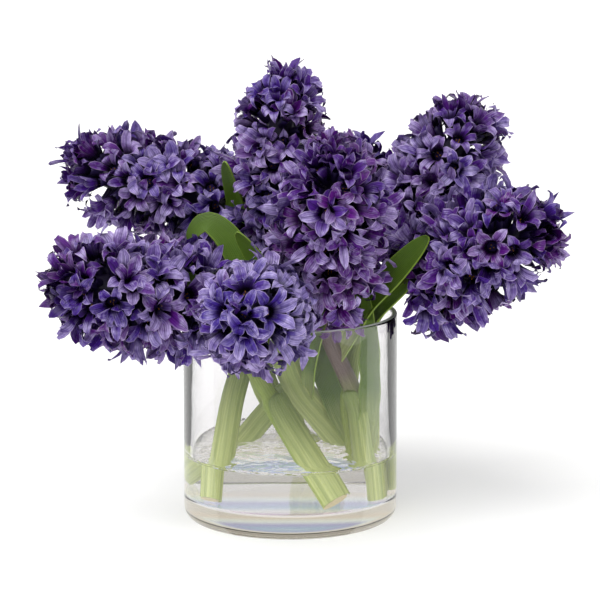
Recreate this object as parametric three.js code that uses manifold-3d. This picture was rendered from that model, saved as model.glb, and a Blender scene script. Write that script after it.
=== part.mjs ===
// Nine cut hyacinths standing in a heavy glass cylinder of water.
// Millimetres, +Z up, origin at the middle of the vase's flat underside, the viewer's side towards -Y.
import * as THREE from "three";
import { mergeVertices } from "three/addons/utils/BufferGeometryUtils.js";
import Module from "manifold-3d";

// Driving dimensions -----------------------------------------------------------------------------
const VASE = {
  radius: 63.5, // a five-inch cylinder
  height: 124.5,
  wall: 3.5,
  floor: 15, // solid glass under the water
  corner: 2, // where the wall meets that floor
  heel: 8, // rounding where the wall meets the underside
  rim: 1.2,
  sides: 48,
};
const WATER_LEVEL = 40;
const GAP = 0.35; // clear space between neighbouring pieces

const SCAPE = { footRadius: 6, neckRadius: 4.6, sides: 8, steps: 9 };
const NO_SHEATH = { upTo: 0, width: 1 };
const BLADE = {
  edge: 0.45, // half its thickness along the margins
  rib: 0.8, // half its thickness along the middle
  channel: 0.28, // how far the margins rise, for each unit of half width
  steps: 7,
  crowding: 1.7, // above 1, sections lie closer together towards the rounded tip
};

const CORE = {
  // how far along the head each band lies, and its radius there
  bands: [[0, 5], [0.22, 6], [0.42, 13], [0.72, 14], [0.9, 9], [0.96, 4]],
  sides: 8,
};
const FLORET = {
  length: 27, // from the middle of the scape to the mouth
  throatDepth: 7,
  mouthRadius: 7.2,
  petalReach: 15.5,
  petalThickness: 1.7, // where it leaves the mouth
  flare: 2.5, // inner petals stand this far above the mouth
  recurve: 1.5, // outer petals bend this far below it
  innerReach: 0.94, // the inner petals' reach, against the outer ones'
};
const HEAD = {
  spacing: 3.4, // along the scape, from one floret to the next
  first: 6, // bare scape below the lowest floret
  last: 2, // and above the highest
  droop: -0.25, // radians, the rise of the lowest florets
  climb: 0.45, // how much more the florets of the middle rise
  close: 1.25, // and how much more those of the tip
  taper: 0.35, // the florets of the tip are this much smaller
  turn: 0.7, // radians, from one floret's face to the next
  pressed: [1, 0.86, 0.72, 0.6], // sizes tried where a neighbour is in the way
  clearance: 1.03, // a floret this much larger must still be clear of its neighbours
};
const GOLDEN_ANGLE = Math.PI * (3 - Math.sqrt(5));

// Each hyacinth: where its cut end stands, where it starts to bend, the two ends of its flower head, how
// full that head is, and its leaves. A leaf leaves the scape at height `from`, passes through `via` to
// its tip, and turns its hollow side towards `face`.
const HYACINTHS = [
  {
    name: "front",
    foot: [47, 20.5],
    knee: [9.6, 0.6, 68],
    base: [-12, -46, 130],
    tip: [-27, -116, 146],
    full: 1.05,
    sheath: { upTo: 0.72, width: 1.25 },
    leaves: [
      {
        from: 66,
        via: [[12, -28, 98], [17, -38, 122]],
        tip: [21, -45, 138],
        width: 9,
        face: [-0.6, -1, 0],
      },
      {
        from: 108,
        via: [[-8, -41, 139], [-18, -41, 160]],
        tip: [-31, -42, 179],
        width: 12,
        face: [-0.5, -1, 0.3],
      },
    ],
  },
  {
    name: "centre",
    foot: [46.6, -18],
    knee: [41.6, -17.2, 61],
    base: [19, -24, 129],
    tip: [26, -64, 217],
    full: 1.15,
    leaves: [
      {
        from: 36,
        via: [[46, -23, 72], [45.5, -28, 104]],
        tip: [44, -33, 141],
        width: 11,
        face: [0, -1, 0],
        wave: 1.2,
      },
      {
        from: 98,
        via: [[42, -27, 132], [60, -31, 152]],
        tip: [80, -34, 175],
        width: 17,
        face: [-0.5, -1, 0.6],
      },
    ],
  },
  {
    name: "left_low",
    foot: [24.6, -44.5],
    knee: [-20.4, -12.5, 87],
    base: [-40, -20, 131],
    tip: [-128, -51, 150],
    full: 1.18,
    sheath: { upTo: 0.5, width: 1.3 },
    leaves: [
      {
        from: 88,
        via: [[-22, -30, 138], [-35, -24, 171], [-49, -21, 181]],
        tip: [-60, -21, 171],
        width: 17,
        face: [-0.2, -1, 0.6],
      },
      {
        from: 104,
        via: [[-36, -34, 128], [-48, -39, 142]],
        tip: [-62, -43, 155],
        width: 14,
        face: [0.3, -1, 0.6],
      },
    ],
  },
  {
    name: "right_low",
    foot: [42.3, -5],
    knee: [36, -5, 60],
    base: [71, -6, 143],
    tip: [140, -22, 178],
    full: 1.2,
    leaves: [
      {
        from: 108,
        via: [[49, -18, 122], [57, -30, 135]],
        tip: [70, -32, 147],
        width: 9,
        face: [-0.3, -1, 0.8],
      },
      {
        from: 42,
        via: [[28, -4, 66], [19, -6, 90]],
        tip: [15, -8, 112],
        width: 14,
        face: [-0.2, -1, 0.1],
      },
    ],
  },
  {
    name: "right_high",
    foot: [-44, 23.4],
    knee: [-9.6, 13.4, 61.5],
    base: [68, 12, 160],
    tip: [104, 25, 230],
    full: 1.08,
    leaves: [],
  },
  {
    name: "top",
    foot: [-43.3, -27.6],
    knee: [-36.5, -12.3, 60],
    base: [-13, 15, 147],
    tip: [-4, 10, 251],
    full: 1.05,
    leaves: [
      {
        from: 128,
        via: [[-28, 15, 152], [-31, 14, 184]],
        tip: [-38, -7, 215],
        width: 13,
        face: [-0.6, -1, 0.2],
      },
    ],
  },
  {
    name: "left_high",
    foot: [15.2, 29.5],
    knee: [-12.4, 25.5, 62.6],
    base: [-38, 40, 184],
    tip: [-121, 54, 200],
    full: 1.05,
    sheath: { upTo: 0.52, width: 1.5 },
    leaves: [
      {
        from: 84,
        via: [[-20, 35, 112], [-34, 37, 142]],
        tip: [-54, 42, 166],
        width: 14,
        face: [-0.3, 1, 0.3],
      },
    ],
  },
  {
    name: "back_right",
    foot: [48.8, 6.2],
    knee: [50.4, 8, 60.7],
    base: [33, 52, 154],
    tip: [44, 98, 196],
    full: 1.05,
    leaves: [],
  },
  {
    name: "back",
    foot: [6.8, 50.9],
    knee: [0.2, 34, 62],
    base: [-12, 52, 137],
    tip: [-28, 134, 148],
    full: 1.05,
    leaves: [
      {
        from: 68,
        via: [[9, 42, 98], [11, 52, 124]],
        tip: [8, 78, 156],
        width: 14,
        face: [0.3, 1, 0.2],
      },
    ],
  },
];

const COLOURS = {
  glass: { color: 0xeef3f2, roughness: 0.03, metalness: 0, transparent: true, opacity: 0.35 },
  water: { color: 0xe2ebe4, roughness: 0.02, metalness: 0, transparent: true, opacity: 0.35 },
  leafy: { color: 0x7d9a45, roughness: 0.55, metalness: 0 },
  petal: { color: 0x5a469c, roughness: 0.6, metalness: 0 },
};

// Solids -----------------------------------------------------------------------------------------
const wasm = await Module();
wasm.setup();

function solid(geometry) {
  const bare = geometry.clone();
  bare.deleteAttribute("normal");
  bare.deleteAttribute("uv");
  const merged = mergeVertices(bare, 1e-4);
  return new wasm.Manifold(
    new wasm.Mesh({
      numProp: 3,
      vertProperties: merged.attributes.position.array,
      triVerts: new Uint32Array(merged.index.array),
    }),
  );
}

function geometryOf(made) {
  const mesh = made.getMesh();
  return new THREE.BufferGeometry()
    .setAttribute("position", new THREE.BufferAttribute(new Float32Array(mesh.vertProperties), 3))
    .setIndex(new THREE.BufferAttribute(new Uint32Array(mesh.triVerts), 1));
}

// The largest body of a fused solid, without the crumbs and sealed bubbles that fusing can leave.
const whole = (made) =>
  made.decompose().reduce((most, part) => (part.volume() > most.volume() ? part : most));

const vector = (point) => new THREE.Vector3(...point);

function indexed(points, faces) {
  return new THREE.BufferGeometry()
    .setAttribute("position", new THREE.Float32BufferAttribute(points.flatMap((p) => p.toArray()), 3))
    .setIndex(faces.flat());
}

// Skins a list of closed rings, all with the same number of points, and caps both ends.
// Quads from `flip` onwards are split along their other diagonal.
function loft(rings, flip = Infinity) {
  const n = rings[0].length;
  const faces = [];
  for (let r = 0; r + 1 < rings.length; r++)
    for (let i = 0; i < n; i++) {
      const a = r * n + i;
      const b = r * n + ((i + 1) % n);
      const c = b + n;
      const d = a + n;
      faces.push(...(i < flip ? [[a, b, c], [a, c, d]] : [[a, b, d], [b, c, d]]));
    }
  const last = (rings.length - 1) * n;
  for (let i = 1; i + 1 < n; i++) faces.push([0, i + 1, i], [last, last + i, last + i + 1]);
  return indexed(rings.flat(), faces);
}

// A ring of points round `centre`, at right angles to `along`, with radii `wide` and `deep`.
function ring(centre, along, across, wide, deep, sides) {
  const up = new THREE.Vector3().crossVectors(along, across).normalize();
  return Array.from({ length: sides }, (_, i) => {
    const turn = (2 * Math.PI * i) / sides;
    return centre
      .clone()
      .addScaledVector(across, wide * Math.cos(turn))
      .addScaledVector(up, deep * Math.sin(turn));
  });
}

// A ring wide the same both ways, however it is turned about `along`.
function roundRing(centre, along, radius, sides) {
  return ring(centre, along, squareTo(along, SLANT), radius, radius, sides);
}

const SLANT = new THREE.Vector3(0.3, 1, 0.2); // along no stem and no head
const SIDEWAYS = new THREE.Vector3(1, 0, 0.3); // the wide way of a sheathed stem

// The unit vector nearest to `wish` that is at right angles to `along`.
const squareTo = (along, wish) => wish.clone().addScaledVector(along, -wish.dot(along)).normalize();

// Vase and water ---------------------------------------------------------------------------------
function vase() {
  const { radius, height, wall, floor, corner, heel, rim, sides } = VASE;
  const inner = radius - wall;
  const heelPoints = [0, 1, 2, 3].map((i) => {
    const turn = (i / 3) * (Math.PI / 2);
    return [radius - heel + heel * Math.sin(turn), heel - heel * Math.cos(turn)];
  });
  const profile = [
    [0, 0],
    ...heelPoints,
    [radius, height - rim],
    [radius - rim, height],
    [inner + rim, height],
    [inner, height - rim],
    [inner, floor + corner],
    [inner - corner, floor],
    [0, floor],
  ];
  return latheUp(profile, sides);
}

// A lathe about +Z: three.js turns its profile about +Y.
function latheUp(profile, sides) {
  const points = profile.map(([r, z]) => new THREE.Vector2(r, z));
  return new THREE.LatheGeometry(points, sides).rotateX(Math.PI / 2);
}

function water(holes) {
  const outer = VASE.radius - VASE.wall - GAP;
  const low = VASE.floor + GAP;
  const { corner } = VASE;
  const profile = [
    [0, low],
    [outer - corner, low],
    [outer, low + corner],
    [outer, WATER_LEVEL],
    [0, WATER_LEVEL],
  ];
  const body = solid(latheUp(profile, VASE.sides));
  return geometryOf(holes.reduce((left, hole) => left.subtract(hole), body));
}

// Stems and leaves -------------------------------------------------------------------------------
// The scape leaves its foot straight, then bends until it points along its flower head.
function scapeCurve({ foot, knee, base, tip, sheath = NO_SHEATH }) {
  const lean = Math.atan(Math.hypot(knee[0] - foot[0], knee[1] - foot[1]) / (knee[2] - VASE.floor));
  const low = SCAPE.footRadius * sheath.width * Math.sin(lean);
  const start = vector([...foot, VASE.floor + 1.5 * GAP + low]);
  const bend = vector(knee);
  const end = vector(base);
  const rise = bend.clone().sub(start).normalize();
  const head = vector(tip).sub(end).normalize();
  const reach = bend.distanceTo(end) / 3;
  const curve = new THREE.CurvePath();
  curve.add(new THREE.LineCurve3(start, bend));
  curve.add(
    new THREE.CubicBezierCurve3(
      bend,
      bend.clone().addScaledVector(rise, reach),
      end.clone().addScaledVector(head, -reach),
      end,
    ),
  );
  return curve;
}

// A scape tapers from its cut end to its neck. Up to the end of its sheath it is wider from side to
// side, where a leaf base wraps it.
function scape(curve, sheath = NO_SHEATH) {
  const { footRadius, neckRadius, sides, steps } = SCAPE;
  const stations = [0, ...Array.from({ length: steps }, (_, i) => 0.25 + (0.75 * i) / (steps - 1))];
  const rings = stations.map((u) => {
    const along = curve.getTangentAt(u);
    const across = squareTo(along, SIDEWAYS);
    const radius = THREE.MathUtils.lerp(footRadius, neckRadius, u);
    const wide = radius * (u < sheath.upTo ? sheath.width : 1);
    return ring(curve.getPointAt(u), along, across, wide, radius, sides);
  });
  return loft(rings);
}

// A plain hole through the water, along the straight foot of a stem.
function footHole(hyacinth) {
  const { sheath = NO_SHEATH } = hyacinth;
  const curve = scapeCurve(hyacinth);
  const along = curve.getTangentAt(0);
  const across = squareTo(along, SIDEWAYS);
  const [above, below] = [40, -10];
  const radius = SCAPE.footRadius + 3 * GAP;
  const rings = [below, above].map((s) => {
    const centre = curve.getPointAt(0).addScaledVector(along, s);
    return ring(centre, along, across, radius * sheath.width, radius, SCAPE.sides);
  });
  return solid(loft(rings));
}

// The point on a curve at height z, by halving.
function pointAtHeight(curve, z) {
  let [low, high] = [0, 1];
  for (let i = 0; i < 24; i++) {
    const middle = (low + high) / 2;
    if (curve.getPointAt(middle).z < z) low = middle;
    else high = middle;
  }
  return curve.getPointAt(low);
}

// Half the width of a strap leaf, from its sunk root (0) to its rounded tip (1).
const strap = (u) => Math.min(1, 0.6 + 1.6 * u) * Math.sqrt(Math.max(0, 1 - Math.pow(u, 5))) + 0.05;

// A channelled blade whose hollow side looks towards `face`.
function leaf(curve, { via, tip, width, from, face, wave = 0 }) {
  const root = pointAtHeight(curve, from);
  const path = new THREE.CatmullRomCurve3([root, ...via.map(vector), vector(tip)]);
  const half = width / 2;
  const rings = [];
  for (let i = 0; i <= BLADE.steps; i++) {
    const u = 1 - Math.pow(1 - i / BLADE.steps, BLADE.crowding);
    const centre = path.getPointAt(u);
    const along = path.getTangentAt(u);
    const front = squareTo(along, vector(face));
    const across = new THREE.Vector3().crossVectors(front, along).normalize();
    const reach = half * strap(u);
    const raised = BLADE.channel * reach;
    const ripple = wave * (i % 2 ? 1 : -1);
    const at = (side, lift) =>
      centre.clone().addScaledVector(across, side * reach).addScaledVector(front, lift);
    rings.push([
      at(-1, raised + ripple - BLADE.edge),
      at(0, -BLADE.rib),
      at(1, raised - ripple - BLADE.edge),
      at(1, raised - ripple + BLADE.edge),
      at(0, BLADE.rib),
      at(-1, raised + ripple + BLADE.edge),
    ]);
  }
  return solid(loft(rings, 3));
}

function leafyStem(hyacinth) {
  const curve = scapeCurve(hyacinth);
  const stalk = solid(scape(curve, hyacinth.sheath));
  return whole(hyacinth.leaves.reduce((made, blade) => made.add(leaf(curve, blade)), stalk));
}

// Flower heads -----------------------------------------------------------------------------------
// One full-grown floret along +Z with its root at the origin: a tube that opens into six petals,
// three of them standing and three bent back.
function floret() {
  const { length, throatDepth, mouthRadius, petalReach, petalThickness } = FLORET;
  const { flare, recurve, innerReach } = FLORET;
  const polar = (radius, turn, z) => vector([radius * Math.cos(turn), radius * Math.sin(turn), z]);
  const points = [vector([0, 0, 0]), vector([0, 0, length - throatDepth])];
  for (let k = 0; k < 6; k++) {
    const valley = ((k - 0.5) * Math.PI) / 3;
    const middle = (k * Math.PI) / 3;
    const inner = k % 2 === 1;
    points.push(
      polar(mouthRadius, valley, length),
      polar(mouthRadius, valley, length - petalThickness),
      polar(petalReach * (inner ? innerReach : 1), middle, length + (inner ? flare : -recurve)),
    );
  }
  const [root, throat] = [0, 1];
  const faces = [];
  for (let k = 0; k < 6; k++) {
    const [top, under, tip] = [2, 3, 4].map((first) => first + 3 * k);
    const [nextTop, nextUnder] = [2, 3].map((first) => first + 3 * ((k + 1) % 6));
    faces.push([throat, top, nextTop], [top, tip, nextTop], [top, under, tip]);
    faces.push([nextTop, tip, nextUnder], [under, nextUnder, tip], [root, nextUnder, under]);
  }
  return indexed(points, faces);
}

// Where each floret of a head grows: up the scape in a golden spiral, drooping at the bottom,
// square to the scape along most of it, and closing over the top.
function* spiral({ base, tip, full }, start) {
  const axis = vector(tip).sub(vector(base));
  const height = axis.length();
  axis.normalize();
  const side = squareTo(axis, SLANT);
  const count = Math.round(height / HEAD.spacing);
  for (let i = 0; i < count; i++) {
    const u = (i + 0.5) / count;
    const rise = HEAD.droop + HEAD.climb * u + HEAD.close * Math.pow(u, 6);
    const out = side.clone().applyAxisAngle(axis, start + i * GOLDEN_ANGLE);
    const way = out.multiplyScalar(Math.cos(rise)).addScaledVector(axis, Math.sin(rise));
    const along = HEAD.first + (height - HEAD.first - HEAD.last) * u;
    const matrix = new THREE.Matrix4()
      .makeRotationFromQuaternion(new THREE.Quaternion().setFromUnitVectors(vector([0, 0, 1]), way))
      .setPosition(vector(base).addScaledVector(axis, along))
      .multiply(new THREE.Matrix4().makeRotationZ(i * HEAD.turn));
    yield { matrix, size: full * (1 - HEAD.taper * Math.pow(u, 4)) };
  }
}

// The closed middle of a head, out of sight between the tubes of the florets.
function core({ base, tip, full }) {
  const axis = vector(tip).sub(vector(base));
  const along = axis.clone().normalize();
  const start = vector(base).addScaledVector(along, GAP);
  const rings = CORE.bands.map(([u, radius]) =>
    roundRing(start.clone().addScaledVector(axis, u), along, u ? radius * full : radius, CORE.sides),
  );
  return solid(loft(rings));
}

// A flower head: its florets fused to its middle. A floret that would press into a neighbouring
// piece grows smaller, and where there is no room even for a small one, none grows.
function flowerHead(hyacinth, start, middle, neighbours) {
  let made = middle;
  for (const { matrix, size } of spiral(hyacinth, start)) {
    const grow = (scale) => solid(floret().scale(scale, scale, scale).applyMatrix4(matrix));
    const free = (shape) => neighbours.every((other) => other.intersect(shape).isEmpty());
    const fits = (scale) => free(grow(scale)) && free(grow(scale * HEAD.clearance));
    const scale = HEAD.pressed.map((share) => share * size).find(fits);
    if (scale) made = made.add(grow(scale));
  }
  return whole(made);
}

// Assembly ---------------------------------------------------------------------------------------
const bouquet = new THREE.Group();
bouquet.name = "hyacinths_in_vase";

function place(name, geometry, look) {
  const mesh = new THREE.Mesh(geometry, new THREE.MeshStandardMaterial(COLOURS[look]));
  mesh.name = name;
  bouquet.add(mesh);
}

const glass = solid(vase());
place("vase", geometryOf(glass), "glass");
place("water", water(HYACINTHS.map(footHole)), "water");

const stems = HYACINTHS.map(leafyStem);
HYACINTHS.forEach((h, i) => place(`leafy_stem_${h.name}`, geometryOf(stems[i]), "leafy"));

const middles = HYACINTHS.map(core);
const heads = [];
HYACINTHS.forEach((h, i) => {
  const neighbours = [glass, ...stems, ...heads, ...middles.slice(i + 1)];
  heads.push(flowerHead(h, i, middles[i], neighbours));
  place(`flower_head_${h.name}`, geometryOf(heads[i]), "petal");
});

export default bouquet;
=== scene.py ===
"""Nine cut hyacinths standing in a heavy glass cylinder of water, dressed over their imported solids.

Lengths in the size tables are millimetres, in the frame of the part: +Z up, the origin at the middle of
the vase's flat underside and the viewer's side towards -Y. Meshes are made in metres.
"""

import logging
import math
import random
from abc import ABC, abstractmethod
from collections.abc import Callable, Iterable, Sequence
from dataclasses import dataclass
from enum import Enum
from functools import cached_property

import bmesh
import bpy
from bpy.types import Material, MeshVertex, Node, NodeSocket, Object
from mathutils import Matrix, Quaternion, Vector
from mathutils.bvhtree import BVHTree


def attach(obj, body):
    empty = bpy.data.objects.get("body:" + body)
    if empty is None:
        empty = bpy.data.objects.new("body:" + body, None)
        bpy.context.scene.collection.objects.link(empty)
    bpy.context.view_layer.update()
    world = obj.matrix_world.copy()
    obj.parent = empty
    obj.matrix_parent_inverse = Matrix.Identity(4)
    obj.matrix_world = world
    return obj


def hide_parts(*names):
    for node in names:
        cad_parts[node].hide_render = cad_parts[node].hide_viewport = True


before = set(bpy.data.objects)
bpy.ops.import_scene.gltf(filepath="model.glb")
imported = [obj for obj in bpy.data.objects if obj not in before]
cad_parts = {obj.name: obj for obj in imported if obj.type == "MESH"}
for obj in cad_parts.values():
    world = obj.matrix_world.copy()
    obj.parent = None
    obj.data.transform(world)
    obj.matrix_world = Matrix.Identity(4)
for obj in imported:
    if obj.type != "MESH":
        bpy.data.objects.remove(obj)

logging.basicConfig(level=logging.INFO, format="%(message)s")
LOG = logging.getLogger("hyacinths")

MM = 0.001
BODY = "root"
PLACE = "Place"  # point attribute: across, along, tone of the floret, tone of the petal with painted shade deep in the head
GOLDEN_ANGLE = math.pi * (3 - math.sqrt(5))
SLANT = Vector((0.3, 1.0, 0.2))  # along no stem and no head
SIDEWAYS = Vector((1.0, 0.0, 0.3))  # the wide way of a sheathed stem

Term = NodeSocket | float  # a number, or a node's socket
Shade = NodeSocket | str  # an sRGB hex colour, or a node's socket
Pair = tuple[float, float]
Triple = tuple[float, float, float]


class Slot(Enum):
    """The material slots."""

    GLASS = "glass"
    WATER = "water"
    LEAFY = "leafy"
    PETAL = "petal"


# --- Small helpers ---
def linear(shade: str) -> tuple[float, float, float, float]:
    """Turns an sRGB hex colour into linear light.

    Args:
        shade: Six hex digits after a hash sign.

    Returns:
        Linear red, green, blue and an alpha of 1.
    """
    parts = [int(shade[i : i + 2], 16) / 255 for i in (1, 3, 5)]
    return (*[p / 12.92 if p <= 0.04045 else ((p + 0.055) / 1.055) ** 2.4 for p in parts], 1.0)


def clear_selection() -> None:
    """Leaves nothing selected in object mode."""
    bpy.ops.object.select_all(action="DESELECT")


def pick(obj: Object) -> None:
    """Makes one object the only selected one and the active one."""
    clear_selection()
    obj.select_set(True)
    bpy.context.view_layer.objects.active = obj


def mark(obj: Object, test: Callable[[Vector], bool]) -> None:
    """Selects, in edit mode, the vertices whose place passes a test.

    Args:
        obj: The object in edit mode.
        test: Says whether a vertex at that place is selected.
    """
    mesh = bmesh.from_edit_mesh(obj.data)
    for vertex in mesh.verts:
        vertex.select = test(vertex.co)
    mesh.select_flush_mode()
    bmesh.update_edit_mesh(obj.data)


def thickened(obj: Object, millimetres: float) -> Object:
    """Turns a sheet into a closed body, with half of its thickness on either side."""
    pick(obj)
    modifier = obj.modifiers.new("Solidify", "SOLIDIFY")
    modifier.thickness, modifier.offset = millimetres * MM, 0
    bpy.ops.object.modifier_apply(modifier=modifier.name)
    return obj


def coated(obj: Object, *finishes: Material) -> Object:
    """Gives a mesh its finishes, in the order of their numbers."""
    for finish in finishes:
        obj.data.materials.append(finish)
    return obj


def grid(columns: int, rows: int) -> Object:
    """A flat grid from -1 m to 1 m, across along X and lengthwise along Y."""
    clear_selection()
    bpy.ops.mesh.primitive_grid_add(x_subdivisions=columns, y_subdivisions=rows, size=2)
    return bpy.context.object


def rings_up(profile: Sequence[Pair], sides: int) -> Object:
    """Raises a round body from its lowest ring by extruding and resizing its top face.

    Args:
        profile: Radius and height of each ring, in millimetres, the first and the last of them faces.
        sides: How many corners each ring has.

    Returns:
        The closed body, about the Z axis.
    """
    clear_selection()
    radius, height = profile[0]
    bpy.ops.mesh.primitive_circle_add(
        vertices=sides, radius=radius * MM, fill_type="NGON", location=(0, 0, height * MM)
    )
    made = bpy.context.object
    bpy.ops.object.transform_apply(location=True)
    bpy.ops.object.mode_set(mode="EDIT")
    bpy.ops.mesh.select_all(action="SELECT")
    for wide, high in profile[1:]:
        step, grow = (0, 0, (high - height) * MM), (wide / radius, wide / radius, 1)
        bpy.ops.mesh.extrude_region_move(TRANSFORM_OT_translate={"value": step})
        bpy.ops.transform.resize(value=grow, center_override=(0, 0, high * MM))
        radius, height = wide, high
    bpy.ops.mesh.select_all(action="SELECT")
    bpy.ops.mesh.normals_make_consistent(inside=False)
    bpy.ops.object.mode_set(mode="OBJECT")
    return made


def copied(model: Object, place: Matrix) -> Object:
    """Copies a modelled piece with a mesh of its own, moved to its place.

    Args:
        model: The piece to copy.
        place: Where the copy goes.

    Returns:
        The copy, whose object stays at the origin.
    """
    made = model.copy()
    made.data = model.data.copy()
    made.data.transform(place)
    bpy.context.scene.collection.objects.link(made)
    return made


def named(obj: Object, name: str) -> Object:
    """Gives an object and its mesh the same name."""
    obj.name = obj.data.name = name
    return obj


def joined(parts: Sequence[Object], name: str) -> Object:
    """Joins parts into one object.

    Args:
        parts: The parts, the first of which takes up the others.
        name: The whole's name.

    Returns:
        The whole.
    """
    clear_selection()
    for part in parts:
        part.select_set(True)
    bpy.context.view_layer.objects.active = parts[0]
    if len(parts) > 1:
        bpy.ops.object.join()
    return named(bpy.context.object, name)


def dropped(objects: Iterable[Object]) -> None:
    """Removes models that were only there to be copied."""
    for obj in objects:
        bpy.data.meshes.remove(obj.data)


def placed(obj: Object, value: Callable[[MeshVertex], Sequence[float]]) -> None:
    """Writes the point attribute that the materials read.

    Args:
        obj: The object whose mesh gets the attribute.
        value: Gives across, along and the two tones of a vertex, each 0 to 1.
    """
    layer = obj.data.color_attributes.get(PLACE)
    if layer is None:
        layer = obj.data.color_attributes.new(name=PLACE, type="FLOAT_COLOR", domain="POINT")
    layer.data.foreach_set("color", [part for v in obj.data.vertices for part in value(v)])


def smooth(obj: Object, degrees: float = 50) -> Object:
    """Shades an object smooth, apart from edges sharper than an angle."""
    pick(obj)
    bpy.ops.object.shade_smooth_by_angle(angle=math.radians(degrees))
    return obj


def dress(obj: Object, slot: Slot, *nodes: str) -> Object:
    """Gives a finished piece its body and hides the solids that it stands for.

    Args:
        obj: The piece.
        slot: Not used.
        nodes: The names of the solids that it replaces.

    Returns:
        The piece.
    """
    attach(obj, BODY)
    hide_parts(*nodes)
    LOG.info("%s: %d faces", obj.name, len(obj.data.polygons))
    return obj


def tree_of(obj: Object) -> BVHTree:
    """A search tree over a piece's faces."""
    mesh = obj.data
    return BVHTree.FromPolygons([v.co for v in mesh.vertices], [face.vertices for face in mesh.polygons])


def square_to(along: Vector, wish: Vector) -> Vector:
    """The unit vector nearest to a wish that is at right angles to a direction."""
    return (wish - along * wish.dot(along)).normalized()


def turned_to(way: Vector) -> Matrix:
    """The turn that brings +Z into a direction."""
    return Vector((0, 0, 1)).rotation_difference(way).to_matrix().to_4x4()


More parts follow.
